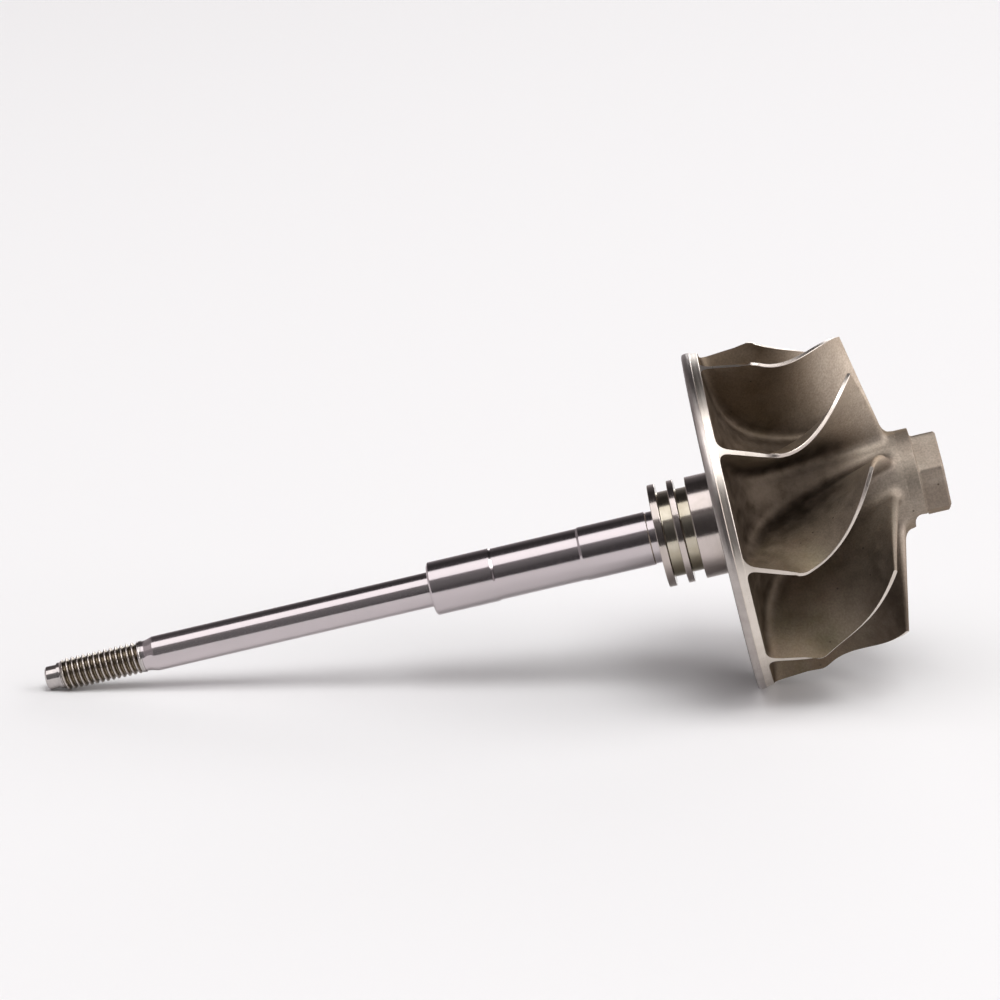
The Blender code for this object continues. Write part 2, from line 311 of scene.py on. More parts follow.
shaft_outline = (
    (RELIEF_START, RELIEF_RADIUS, 0.08),
    (RELIEF_TAPER_START, RELIEF_RADIUS, 0.3),
    (SEAT_START, SEAT_RADIUS, 0.25),
    (JOURNAL_START, SEAT_RADIUS, 0.12),
    (JOURNAL_START, JOURNAL_RADIUS - JOURNAL_CHAMFER, 0.05),
    (JOURNAL_START + JOURNAL_CHAMFER, JOURNAL_RADIUS, 0.08),
    (WAIST_START - WAIST_RAMP, JOURNAL_RADIUS, 0.06),
    (WAIST_START, WAIST_RADIUS, 0.08),
    (WAIST_END, WAIST_RADIUS, 0.08),
    (WAIST_END + WAIST_RAMP, JOURNAL_RADIUS, 0.06),
    (UNDERCUT_START - UNDERCUT_RAMP, JOURNAL_RADIUS, 0.05),
    (UNDERCUT_START, UNDERCUT_RADIUS, 0.06),
    (UNDERCUT_END, UNDERCUT_RADIUS, 0.0),
)


def new_group(name, inputs, outputs):
    """A shader node group with float inputs at their usual values, what comes in, and its last node."""
    group = bpy.data.node_groups.new(name, "ShaderNodeTree")
    for label, value in inputs.items():
        socket = group.interface.new_socket(label, in_out="INPUT", socket_type="NodeSocketFloat")
        socket.default_value = value
    for label, kind in outputs.items():
        group.interface.new_socket(label, in_out="OUTPUT", socket_type="NodeSocket" + kind)
    return group, group.nodes.new("NodeGroupInput").outputs, group.nodes.new("NodeGroupOutput")


def place_on_rotor(tree):
    """Object coordinates brought back to the rotor's own frame, in millimetres."""
    back = {
        "Vector": node_in(tree, "ShaderNodeTexCoord", {}).outputs["Object"],
        "Location": AXIS_START,
        "Rotation": (0.0, math.pi / 2 - PITCH_UP, 0.0),
        "Scale": (MM, MM, MM),
    }
    return made_in(tree, "ShaderNodeMapping", back, vector_type="TEXTURE")


def part_of_place(tree, axis):
    """One of the rotor's own coordinates: 0 and 1 across its axis, and 2 for the station along it."""
    return node_in(tree, "ShaderNodeSeparateXYZ", {0: place_on_rotor(tree)}).outputs[axis]


def from_axis(tree):
    """The distance from the rotor's axis."""
    across = {0: place_on_rotor(tree), 1: (1.0, 1.0, 0.0)}
    flat = made_in(tree, "ShaderNodeVectorMath", across, operation="MULTIPLY")
    return node_in(tree, "ShaderNodeVectorMath", {0: flat}, operation="LENGTH").outputs["Value"]


# Rings left by the lathe and the grinding wheel, round the axis on a barrel and round the centre on a face
lathe, marks_in, marks_out = new_group(
    "lathe marks", {"Spacing": 0.1, "Depth": 0.001, "Drift": 0.3}, {"Normal": "Vector", "Lines": "Float"}
)
marks_way = lathe.nodes.new("ShaderNodeCombineXYZ")
for axis, distance in enumerate((from_axis(lathe), part_of_place(lathe, 2))):
    lines_apart = maths(lathe, "DIVIDE", distance, marks_in["Spacing"])
    wander = maths(lathe, "MULTIPLY", part_of_place(lathe, axis), marks_in["Drift"])
    set_inputs(lathe, marks_way, {axis: maths(lathe, "ADD", lines_apart, wander)})
marks_inputs = {"Vector": marks_way.outputs[0], "Scale": 1.0, "Detail": 4.0}
marks_noise = made_in(lathe, "ShaderNodeTexNoise", marks_inputs)
marks_depth = maths(lathe, "MULTIPLY", marks_in["Depth"], MM)
marks_bump = made_in(lathe, "ShaderNodeBump", {"Height": marks_noise, "Distance": marks_depth})
set_inputs(lathe, marks_out, {"Normal": marks_bump, "Lines": marks_noise})

# Uneven tone from handling, storage oil and heat, as soft patches
patches, patches_in, patches_out = new_group("patches", {"Size": 8.0}, {"Tone": "Float"})
patches_noise = made_in(patches, "ShaderNodeTexNoise", {
    "Vector": place_on_rotor(patches),
    "Scale": maths(patches, "DIVIDE", 1.0, patches_in["Size"]),
    "Detail": 5.0,
    "Roughness": 0.6,
})
set_inputs(patches, patches_out, {"Tone": patches_noise})


def metal(name):
    """A bare metal with nothing on its colour and roughness yet, its tree and its shader."""
    material, tree, shader = new_material(name)
    set_inputs(tree, shader, {"Metallic": 1.0})
    return material, tree, shader


def placed(tree, group, **values):
    """What comes out of a node group that is set in a material with its own values."""
    return node_in(tree, "ShaderNodeGroup", values, node_tree=group).outputs


def blended(tree, share, first, second):
    """Two colours, or sockets that carry them, mixed by a share."""
    first, second = (c if isinstance(c, bpy.types.NodeSocket) else (*c, 1.0) for c in (first, second))
    return node_in(
        tree, "ShaderNodeMix", {"Factor": share, 6: first, 7: second}, data_type="RGBA"
    ).outputs[2]


def spread(tree, noise, low=0.0, high=1.0):
    """Noise, which hardly leaves the middle of its range, spread over a range of its own."""
    return ranged(tree, noise, *NOISE_RANGE, low, high)


def share_of(tree, value, start, end, full=1.0):
    """A share that grows from nothing to full while a value runs from start to end."""
    return ranged(tree, value, start, end, 0.0, full)


def toned(tree, size, first, second):
    """Two colours in soft patches of a size."""
    return blended(tree, spread(tree, placed(tree, patches, Size=size)["Tone"]), first, second)


def lathe_finish(tree, shader, colour, roughness, **marks_values):
    """Gives a turned metal its colour, its marks, and a roughness that wavers with them."""
    marks = placed(tree, lathe, **marks_values)
    uneven = spread(tree, marks["Lines"], *roughness)
    set_inputs(tree, shader, {"Base Color": colour, "Roughness": uneven, "Normal": marks["Normal"]})
    return uneven


ground_steel, tree, shader = metal("ground_steel")
ground_colour = toned(tree, 9.0, *GROUND_TONES)
lathe_finish(tree, shader, ground_colour, GROUND_ROUGHNESS, Spacing=0.09, Depth=0.0006, Drift=0.25)

shaft = on_rotor("ground_shaft", turned(shaft_outline, SHAFT_SIDES), [ground_steel])
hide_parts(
    "thread_relief",
    "compressor_seat",
    "front_journal",
    "journal_waist",
    "rear_journal",
    "journal_undercut",
)

# The threaded end
# The same bar, cut with an M6 by 1 thread for the nut that clamps the compressor wheel, with a lead-in
# cone and a plain pilot in front of it. Oil and oxide stay in the roots, and the crests are rubbed bright.
PITCH = 1.0
THREAD_RADIUS, THREAD_ROOT_RADIUS = 2.862, 2.35
# How far from the nearest root, in pitches, the flat of the crest begins and the flat of the root ends
CREST_FROM, ROOT_TO = 0.44, 0.08
THREAD_SIDES, ROWS_A_PITCH, THREAD_SEAM = 72, 20, 0.001
PILOT_END, PILOT_FACE_RADIUS, PILOT_RADIUS, PILOT_CHAMFER = -3.2, 1.77, 2.09, 0.3
LEAD_IN_START, LEAD_IN_END, LEAD_IN_RADIUS = -0.9, 0.0, 2.65
LEAD_IN_SLOPE = (LEAD_IN_RADIUS - PILOT_RADIUS) / (LEAD_IN_END - LEAD_IN_START)
RUN_OUT_START, RUN_OUT_END, RUN_OUT_RADIUS = 13.6, 14.0, 2.78
THREAD_END, LAST_ROW = 14.65, 0.06
OILED_ROOTS = (0.13, 0.105, 0.075), (0.27, 0.225, 0.165)
RUBBED_CRESTS, RUBBED_FROM = (0.60, 0.55, 0.52), THREAD_ROOT_RADIUS + 0.25
PLAIN_ENDS, PLAIN_FADE = ((0.42, 0.39, 0.385), (0.6, 0.56, 0.54)), 0.3
THREAD_TONE_SIZE, THREAD_ROUGHNESS, ROUGHER_FLANKS = 1.6, (0.08, 0.18), 0.14

thread_steel, tree, shader = metal("thread_steel")
rubbed = share_of(tree, from_axis(tree), RUBBED_FROM, THREAD_RADIUS)
wound_colour = blended(tree, rubbed, toned(tree, THREAD_TONE_SIZE, *OILED_ROOTS), RUBBED_CRESTS)
plain_colour = toned(tree, THREAD_TONE_SIZE, *PLAIN_ENDS)
station_here = part_of_place(tree, 2)
past_cone = share_of(tree, station_here, LEAD_IN_END - PLAIN_FADE, LEAD_IN_END + PLAIN_FADE)
before_run_out = share_of(tree, station_here, RUN_OUT_END, RUN_OUT_START)
is_wound = maths(tree, "MULTIPLY", past_cone, before_run_out)
thread_colour = blended(tree, is_wound, plain_colour, wound_colour)
smooth = lathe_finish(
    tree, shader, thread_colour, THREAD_ROUGHNESS, Spacing=0.07, Depth=0.0012, Drift=0.6
)
worked = maths(tree, "MULTIPLY", is_wound, ROUGHER_FLANKS)
set_inputs(tree, shader, {"Roughness": maths(tree, "ADD", smooth, worked)})


def rule_for(name, values):
    """A Geometry Nodes tree with inputs for a mesh and each value, what comes in, and its last node."""
    kinds = {float: "Float", int: "Int", bpy.types.Material: "Material"}
    rule = bpy.data.node_groups.new(name, "GeometryNodeTree")
    rule.interface.new_socket("Mesh", in_out="INPUT", socket_type="NodeSocketGeometry")
    for label, value in values.items():
        kind = "NodeSocket" + kinds[type(value)]
        rule.interface.new_socket(label, in_out="INPUT", socket_type=kind).default_value = value
    rule.interface.new_socket("Mesh", in_out="OUTPUT", socket_type="NodeSocketGeometry")
    return rule, rule.nodes.new("NodeGroupInput").outputs, rule.nodes.new("NodeGroupOutput")


def changed(seed):
    """The plain mesh that an object's modifiers make. The object is taken away."""
    mesh = bpy.data.meshes.new_from_object(seed.evaluated_get(bpy.context.evaluated_depsgraph_get()))
    bpy.data.objects.remove(seed)
    return mesh


def grown(rule, start_mesh, values):
    """The plain mesh that a Geometry Nodes tree makes with its inputs set to these values."""
    seed = in_scene("seed", start_mesh)
    modifier = seed.modifiers.new("rule", "NODES")
    modifier.node_group = rule
    for socket in rule.interface.items_tree:
        if socket.in_out == "INPUT" and socket.name in values:
            modifier[socket.identifier] = values[socket.name]
    return changed(seed)


def reopened(mesh):
    """A bmesh of a plain mesh."""
    cut = bmesh.new()
    cut.from_mesh(mesh)
    return cut


# The tree winds a V profile round a tube: each point's distance from the axis follows from how far it
# lies, along the axis, from the root that passes its angle.
thread_values = {
    "Pitch": PITCH,
    "Crest Radius": THREAD_RADIUS,
    "Root Radius": THREAD_ROOT_RADIUS,
    "Start": LEAD_IN_START,
    "End": THREAD_END,
    "Rows": int((THREAD_END - LEAD_IN_START) * ROWS_A_PITCH / PITCH),
    "Sides": THREAD_SIDES + 1,
    "Material": thread_steel,
}
tree, thread_in, thread_out = rule_for("wound thread", thread_values)
sheet = made_in(
    tree,
    "GeometryNodeMeshGrid",
    {"Size X": 1.0, "Size Y": 1.0, "Vertices X": thread_in["Rows"], "Vertices Y": thread_in["Sides"]},
)
sheet_place = made_in(tree, "GeometryNodeInputPosition", {})
sheet_parts = node_in(tree, "ShaderNodeSeparateXYZ", {0: sheet_place}).outputs
share_along, share_round = (maths(tree, "ADD", sheet_parts[axis], 0.5) for axis in "XY")
length = maths(tree, "SUBTRACT", thread_in["End"], thread_in["Start"])
station = maths(tree, "ADD", thread_in["Start"], maths(tree, "MULTIPLY", share_along, length))
turns_along = maths(tree, "DIVIDE", station, thread_in["Pitch"])
from_root = maths(tree, "PINGPONG", maths(tree, "SUBTRACT", turns_along, share_round), 0.5)
flank = ranged(tree, from_root, CREST_FROM, ROOT_TO, thread_in["Crest Radius"], thread_in["Root Radius"])
past_pilot = maths(tree, "SUBTRACT", station, LEAD_IN_START)
cone = maths(tree, "ADD", PILOT_RADIUS, maths(tree, "MULTIPLY", past_pilot, LEAD_IN_SLOPE))
run_out = ranged(
    tree, station, RUN_OUT_START, RUN_OUT_END, thread_in["Root Radius"], RUN_OUT_RADIUS,
    interpolation_type="SMOOTHSTEP",
)
at_end = maths(tree, "GREATER_THAN", station, THREAD_END - LAST_ROW)
over_relief = maths(tree, "MULTIPLY", at_end, THREAD_RADIUS - RELIEF_RADIUS)
limit = maths(tree, "MINIMUM", cone, maths(tree, "SUBTRACT", THREAD_RADIUS, over_relief))
radius_here = maths(tree, "MAXIMUM", maths(tree, "MINIMUM", flank, limit), run_out)
angle = maths(tree, "MULTIPLY", share_round, math.tau)
across, upward = (
    maths(tree, "MULTIPLY", radius_here, maths(tree, turn, angle)) for turn in ("COSINE", "SINE")
)
wound = made_in(tree, "ShaderNodeCombineXYZ", {0: across, 1: upward, 2: station})
rolled = made_in(tree, "GeometryNodeSetPosition", {0: sheet, "Position": wound})
closed = made_in(tree, "GeometryNodeMergeByDistance", {0: rolled, "Distance": THREAD_SEAM})
real = made_in(tree, "GeometryNodeRealizeInstances", {0: closed})
coated = made_in(tree, "GeometryNodeSetMaterial", {0: real, "Material": thread_in["Material"]})
set_inputs(tree, thread_out, {0: coated})

thread_cut = reopened(grown(tree, bpy.data.meshes.new("seed"), thread_values))
pilot_outline = (
    (PILOT_END, 0.0, 0.0),
    (PILOT_END, PILOT_FACE_RADIUS, 0.05),
    (PILOT_END + PILOT_CHAMFER, PILOT_RADIUS, 0.08),
    (LEAD_IN_START, PILOT_RADIUS, 0.0),
)
around = full_turn(THREAD_SIDES)
close_between(thread_cut, [ring(thread_cut, *point, around) for point in rounded(pilot_outline)])
close_between(thread_cut, [ring(thread_cut, THREAD_END, r, around) for r in (RELIEF_RADIUS, 0.0)])
threaded_end = on_rotor("threaded_tip", thread_cut, [thread_steel])
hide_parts("pilot_tip", "threaded_end")

# The sealing end
# The weld side of the shaft, turned to carry two piston rings in the bearing housing's bore: three lands,
# two square grooves between them, and the boss that runs into the wheel's back.
SEAL_SIDES = 192
FRONT_LAND_START, LAND_RADIUS = 107.95, 9.14
FRONT_GROOVE_START, FRONT_GROOVE_RADIUS = 109.3, 7.57
MIDDLE_LAND_START = 111.4
REAR_GROOVE_START, REAR_GROOVE_RADIUS = 112.55, 7.43
BOSS_START, BOSS_RADIUS, BOSS_IN_DISC = 114.6, 9.05, 0.2
DISC_BACK = 118.9
LAND_ROUNDING, GROOVE_ROUNDING = 0.12, 0.15
BRIGHT_LANDS, DARKER_LANDS = ((0.62, 0.55, 0.53), (0.52, 0.46, 0.42)), (0.34, 0.28, 0.25)
STAINED_GROOVES, DARKER_GROOVES = ((0.42, 0.37, 0.28), (0.60, 0.55, 0.46)), (0.20, 0.165, 0.10)
# How far below the axis the darkening begins and is full, how much of it the lands take, and from where to
# where, from the axis, a groove turns into a land
DARKER_BELOW, DARKENING_ON_LANDS = (0.5, 6.5), 0.45
LAND_FROM = REAR_GROOVE_RADIUS + 0.5, REAR_GROOVE_RADIUS + 1.2
SEAL_TONE_SIZE, SEAL_ROUGHNESS = 5.0, (0.10, 0.20)

seal_outline = (
    (FRONT_LAND_START, LAND_RADIUS, LAND_ROUNDING),
    (FRONT_GROOVE_START, LAND_RADIUS, LAND_ROUNDING),
    (FRONT_GROOVE_START, FRONT_GROOVE_RADIUS, GROOVE_ROUNDING),
    (MIDDLE_LAND_START, FRONT_GROOVE_RADIUS, GROOVE_ROUNDING),
    (MIDDLE_LAND_START, LAND_RADIUS, LAND_ROUNDING),
    (REAR_GROOVE_START, LAND_RADIUS, LAND_ROUNDING),
    (REAR_GROOVE_START, REAR_GROOVE_RADIUS, GROOVE_ROUNDING),
    (BOSS_START, REAR_GROOVE_RADIUS, GROOVE_ROUNDING),
    (BOSS_START, BOSS_RADIUS, LAND_ROUNDING),
    (DISC_BACK + BOSS_IN_DISC, BOSS_RADIUS, 0.0),
)

# Darker towards the underside, and baked olive in the grooves
turned_steel, tree, shader = metal("turned_steel")
underside = share_of(tree, part_of_place(tree, 0), *DARKER_BELOW)
darkening_on_lands = maths(tree, "MULTIPLY", underside, DARKENING_ON_LANDS)
land_colour = blended(tree, darkening_on_lands, toned(tree, SEAL_TONE_SIZE, *BRIGHT_LANDS), DARKER_LANDS)
groove_colour = blended(tree, underside, toned(tree, SEAL_TONE_SIZE, *STAINED_GROOVES), DARKER_GROOVES)
on_land = share_of(tree, from_axis(tree), *LAND_FROM)
seal_colour = blended(tree, on_land, groove_colour, land_colour)
lathe_finish(tree, shader, seal_colour, SEAL_ROUGHNESS, Spacing=0.12, Depth=0.0012, Drift=0.2)

seal = on_rotor("sealing_end", turned(seal_outline, SEAL_SIDES), [turned_steel])
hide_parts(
    "front_ring_land", "front_ring_groove", "middle_ring_land", "rear_ring_groove", "seal_boss"
)

# The turbine wheel
# One investment casting in nickel alloy: the back disc, the flared hub and nine blades that run into it
# with large fillets. Its rim and the blades' outer edges are turned to size after casting.
DISC_RADIUS, DISC_EDGE_LENGTH = 29.985, 0.6
DISC_FRONT, DISC_FRONT_RADIUS, DISC_FRONT_BREAK, INLET_RADIUS = 121.85, 29.6, 0.1, 29.5
BACK_FACE, BACK_FACE_CHAMFER, EDGE_START = DISC_BACK + 0.1, 0.2, DISC_BACK + 0.3
EDGE_RADIUS = DISC_RADIUS - DISC_EDGE_LENGTH * math.tan(PITCH_UP)
# The back turns into the boss by two bends, and ends just over the boss's skin
BACK_BENDS, BACK_END = (BOSS_RADIUS + 4.0, BOSS_RADIUS + 1.0), (DISC_BACK - 0.15, BOSS_RADIUS + 0.02)
RIM_LINE, RIM_LINE_WIDTH, RIM_LINE_STEP, RIM_FALL = 120.45, 0.08, 0.15, 0.06
COLLAR_START, COLLAR_JOIN, COLLAR_RADIUS = 149.1, 151.75, 8.575
BLADES = 9
SECTOR = math.tau / BLADES
FIRST_BLADE_ANGLE = math.radians(-127.7)
BLADE_ROOT_THICKNESS, BLADE_TIP_THICKNESS = 1.5, 0.64
BLADE_INLET_THICKNESS, BLADE_EXIT_THICKNESS = 0.85, 2.1
INLET_SHARE = 0.3
CORNER_ROUNDING, CORNER_SHARE = 1.2, 0.07
FILLET_AT_RIM, FILLET_AT_NOSE = 2.0, 1.75
EDGE_BREAK = 0.07
ALONG_STEPS, FLOOR_STEPS, FILLET_STEPS, RISE_STEPS, EDGE_STEPS = 60, 6, 6, 12, 6
HUB_STEPS, EASING_STEPS = 400, 40
SLOPE_STEP = 0.001
CASTING_WAVES, CASTING_WAVE_LENGTH = 0.05, 5.0
SECTOR_SEAM, LEAST_MACHINED = 0.002, 0.001

# Bezier handles of the blades' root on the hub and of their tip under the shroud: station, radius and
# how far the blade has turned about the axis from its foot on the rim
ROOT_LINE = np.array((
    (DISC_FRONT, INLET_RADIUS, 0.0),
    (122.6, 14.5, 0.0),
    (128.5, 11.0, math.radians(-8.0)),
    (COLLAR_START, 8.85, math.radians(-38.0)),
))
TIP_LINE = np.array((
    (131.15, 29.84, math.radians(6.6)),
    (135.1, 26.95, math.radians(6.8)),
    (140.2, 26.9, math.radians(1.4)),
    (146.1, 26.75, math.radians(-23.1)),
))


def bezier(handles, share):
    rest = 1 - share
    weights = (rest**3, 3 * rest**2 * share, 3 * rest * share**2, share**3)
    return sum(weight * handle for weight, handle in zip(weights, handles))


def blade_tip(along):
    """A blade's outer edge, which leaves its inlet edge round a soft corner."""
    if along >= CORNER_SHARE:
        return bezier(TIP_LINE, along)
    inlet = TIP_LINE[0] - ROOT_LINE[0]
    start = TIP_LINE[0] - inlet * CORNER_ROUNDING / math.hypot(*inlet[:2])
    return bent(start, TIP_LINE[0], bezier(TIP_LINE, CORNER_SHARE), along / CORNER_SHARE)


def to_round(points):
    """(x, y, z) as (station, radius, angle)."""
    x, y, z = np.moveaxis(points, -1, 0)
    return np.stack((z, np.hypot(x, y), np.arctan2(y, x)), -1)


def to_straight(points):
    """(station, radius, angle) as (x, y, z)."""
    station, radius, angle = np.moveaxis(points, -1, 0)
    return np.stack((radius * np.cos(angle), radius * np.sin(angle), station), -1)


# The hub's curve, carried on past the blades until it runs level into the collar
hub_curve = np.array([bezier(ROOT_LINE, share)[:2] for share in np.linspace(0.0, 1.0, HUB_STEPS)])
hub_end_slope = (hub_curve[-1, 1] - hub_curve[-2, 1]) / (hub_curve[-1, 0] - hub_curve[-2, 0])
easing_length = 2 * (COLLAR_RADIUS - hub_curve[-1, 1]) / hub_end_slope
easing = np.linspace(0.0, easing_length, EASING_STEPS)[1:]
eased = np.stack((
    hub_curve[-1, 0] + easing,
    hub_curve[-1, 1] + hub_end_slope * (easing - easing**2 / (2 * easing_length)),
), -1)
hub_curve = np.vstack((hub_curve, eased, [(COLLAR_JOIN + 1.0, COLLAR_RADIUS)]))


def hub_radius(station):
    return np.interp(station, hub_curve[:, 0], hub_curve[:, 1])


def onto_hub(point):
    """The nearest point of the hub's skin to a (station, radius, angle)."""
    starts, runs = hub_curve[:-1], np.diff(hub_curve, axis=0)
    reach = ((point[:2] - starts) * runs).sum(1) / (runs**2).sum(1)
    nearest = starts + runs * np.clip(reach, 0.0, 1.0)[:, None]
    best = nearest[np.argmin(((nearest - point[:2]) ** 2).sum(1))]
    return np.array((*best, point[2]))


def blade_middle(along, rise):
    root, tip = bezier(ROOT_LINE, along), blade_tip(along)
    return to_straight(root + (tip - root) * rise)


def blade_side(along, rise, side, inset=0.0):
    """A point of a blade's skin, as (station, radius, angle), on the side +1 or -1 of its middle."""
    middle = blade_middle(along, rise)
    forward = blade_middle(along + SLOPE_STEP, rise) - middle
    outward = blade_middle(along, rise + SLOPE_STEP) - middle
    normal = np.cross(forward, outward)
    thinned = max(0.0, 1 - along / INLET_SHARE) ** 2
    at_root = BLADE_ROOT_THICKNESS + (BLADE_INLET_THICKNESS - BLADE_ROOT_THICKNESS) * thinned
    at_root += (BLADE_EXIT_THICKNESS - BLADE_ROOT_THICKNESS) * along**3
    thickness = at_root + (BLADE_TIP_THICKNESS - at_root) * rise
    offset = side * (thickness / 2 - inset) / np.linalg.norm(normal)
    return to_round(middle + normal * offset)


def half_section(along, side):
    """From the middle of a passage's floor over the fillet and up one side of a blade to its outer edge."""
    root, tip = bezier(ROOT_LINE, along), blade_tip(along)
    height = math.dist(root[:2], tip[:2])
    fillet = FILLET_AT_RIM + (FILLET_AT_NOSE - FILLET_AT_RIM) * along
    foot = onto_hub(blade_side(along, 0.0, side))
    mid_floor = root + np.array((0.0, 0.0, side * SECTOR / 2))
    floor_share = 1 - fillet / (abs(mid_floor[2] - foot[2]) * root[1])
    shares = [floor_share * step / FLOOR_STEPS for step in range(FLOOR_STEPS + 1)]
    points = [onto_hub(mid_floor + (foot - mid_floor) * share) for share in shares]
    start, end = points[-1], blade_side(along, fillet / height, side)
    points += [bent(start, foot, end, step / FILLET_STEPS) for step in range(1, FILLET_STEPS)]
    rises = np.linspace(fillet / height, 1 - EDGE_BREAK / height, RISE_STEPS + 1)
    return points + [blade_side(along, rise, side) for rise in rises]


def section(along):
    """A passage floor's middle, up over a blade and down to the next floor's middle."""
    up, down = half_section(along, -1), half_section(along, 1)
    left, right = (blade_side(along, 1.0, side, EDGE_BREAK) for side in (-1, 1))
    edge = [left + (right - left) * step / EDGE_STEPS for step in range(EDGE_STEPS + 1)]
    points = np.array(up + edge + down[::-1])
    if along == 0.0:
        points[:, 1] = INLET_RADIUS
    return points


sector = bmesh.new()
machined = sector.faces.layers.int.new("machined")
sections = [section(step / ALONG_STEPS) for step in range(ALONG_STEPS + 1)]
across_count = len(sections[0])
fillet_top = FLOOR_STEPS + FILLET_STEPS
top = fillet_top + RISE_STEPS
edge_columns = range(top, across_count - 1 - top)
cap_columns = len(edge_columns)


def past_end(rise):
    """How a blade goes on past its trailing edge in a small step, as (station, radius, angle)."""
    end = blade_middle(1.0, rise)
    return to_round(end + (end - blade_middle(1.0 - SLOPE_STEP, rise))) - to_round(end)


def end_direction(rise):
    """The way, for each millimetre along the blade, past its trailing edge as (station, radius, angle)."""
    way_on = past_end(0.0) + (past_end(1.0) - past_end(0.0)) * rise
    radius = ROOT_LINE[-1][1] + (TIP_LINE[-1][1] - ROOT_LINE[-1][1]) * rise
    return way_on / math.sqrt(way_on[0] ** 2 + way_on[1] ** 2 + (way_on[2] * radius) ** 2)


def cap_rows(last, bulging):
    """Rows of points that close a blade's end, flat or rounded, from its fillet to its outer edge."""
    rows = []
    heights = last[:, 1] - hub_radius(last[:, 0])
    for level in range(FLOOR_STEPS, top + 1):
        left, right = last[level], last[across_count - 1 - level]
        middle, half = (left + right) / 2, (left - right) / 2
        row = []
        for column in range(1, cap_columns):
            if not bulging:
                row.append(left + (right - left) * column / cap_columns)
                continue
            turn = math.pi * column / cap_columns
            rise = max(0.0, (level - fillet_top) / RISE_STEPS)
            reach = math.hypot(abs(half[2]) * middle[1], half[0]) * math.sin(turn)
            point = middle + half * math.cos(turn) + end_direction(rise) * reach
            if level < fillet_top:
                point[1] = hub_radius(point[0]) + (heights[level] + heights[across_count - 1 - level]) / 2
            row.append(point)
        rows.append(row)
    return rows


first_caps, last_caps = cap_rows(sections[0], False), cap_rows(sections[-1], True)
for end_section, caps in ((sections[0], first_caps), (sections[-1], last_caps)):
    end_section[top + 1:across_count - 1 - top] = caps[-1]


def skin(grid_rows, is_machined):
    """Faces between rows of vertices. is_machined says of each column if it is turned to size."""
    for low, high in zip(grid_rows, grid_rows[1:]):
        for column in range(len(low) - 1):
            face = sector.faces.new([low[column], low[column + 1], high[column + 1], high[column]])
            face[machined] = int(is_machined(column))


def as_vertices(points):
    return [sector.verts.new(point) for point in to_straight(np.array(points))]


main_rows = [as_vertices(points) for points in sections]
skin(main_rows, lambda column: column in edge_columns)
bottoms = []
for row, caps, turned_to_size in ((main_rows[0], first_caps, True), (main_rows[-1], last_caps, False)):
    levels = []
    for level, points in zip(range(FLOOR_STEPS, top), caps):
        levels.append([row[level], *as_vertices(points), row[across_count - 1 - level]])
    levels.append(row[top:across_count - top])
    skin(levels, lambda column, so=turned_to_size: so)
    bottoms.append([*row[:FLOOR_STEPS], *levels[0], *row[across_count - FLOOR_STEPS:]])


def rings_below(bottom, outline):
    """A row of vertices at the angles of a bottom row for each (station, radius) of an outline."""
    angles = to_round(np.array([vertex.co for vertex in bottom]))[:, 2]
    return [as_vertices([(station, radius, angle) for angle in angles]) for station, radius in outline]


rim_outline = rounded((
    (DISC_FRONT, INLET_RADIUS, 0.0),
    (DISC_FRONT - DISC_FRONT_BREAK, DISC_FRONT_RADIUS, 0.05),
    (RIM_LINE + RIM_LINE_WIDTH, DISC_FRONT_RADIUS + RIM_LINE_STEP, 0.03),
    (RIM_LINE, DISC_RADIUS - RIM_FALL, 0.03),
    (EDGE_START + DISC_EDGE_LENGTH, DISC_RADIUS, 0.2),
    (EDGE_START, EDGE_RADIUS, 0.12),
    (BACK_FACE, EDGE_RADIUS - BACK_FACE_CHAMFER, 0.1),
    (BACK_FACE, BACK_BENDS[0], 1.0),
    (BACK_FACE, BACK_BENDS[1], 0.5),
    (*BACK_END, 0.0),
))
rim_bottom, nose_bottom = bottoms
[nose_ring] = rings_below(nose_bottom, [(COLLAR_JOIN, COLLAR_RADIUS)])
rim_rows = [rim_bottom, *rings_below(rim_bottom, rim_outline[1:])]
skin([nose_bottom, nose_ring], lambda column: False)
skin(rim_rows, lambda column: True)
for last_row, middle_station in ((nose_ring, COLLAR_JOIN), (rim_rows[-1], rim_outline[-1][0])):
    row_middle = sector.verts.new((0.0, 0.0, middle_station))
    for low, high in zip(last_row, last_row[1:]):
        sector.faces.new((low, high, row_middle))
bmesh.ops.recalc_face_normals(sector, faces=sector.faces)

# A casting's skin: sandy grain from the shell, and scattered pits
PIT_EDGE, PIT_DEPTH = (0.02, 0.08), 0.8
cast_skin, skin_in, skin_out = new_group(
    "cast skin",
    {"Grain": 0.3, "Depth": 0.02, "Pit Spacing": 3.4},
    {"Normal": "Vector", "Grain Tone": "Float", "Pits": "Float"},
)
skin_place = place_on_rotor(cast_skin)
grain_scale, pit_scale = (
    maths(cast_skin, "DIVIDE", 1.0, skin_in[size]) for size in ("Grain", "Pit Spacing")
)
grain = made_in(
    cast_skin, "ShaderNodeTexNoise", {"Vector": skin_place, "Scale": grain_scale, "Detail": 3.0}
)
pits = made_in(cast_skin, "ShaderNodeTexVoronoi", {"Vector": skin_place, "Scale": pit_scale})
off_pits = ranged(cast_skin, pits, *PIT_EDGE, 0.0, 1.0, interpolation_type="SMOOTHSTEP")
skin_height = maths(cast_skin, "ADD", grain, maths(cast_skin, "MULTIPLY", off_pits, PIT_DEPTH))
skin_depth = maths(cast_skin, "MULTIPLY", skin_in["Depth"], MM)
skin_bump = made_in(cast_skin, "ShaderNodeBump", {"Height": skin_height, "Distance": skin_depth})
set_inputs(cast_skin, skin_out, {"Normal": skin_bump, "Grain Tone": grain, "Pits": off_pits})

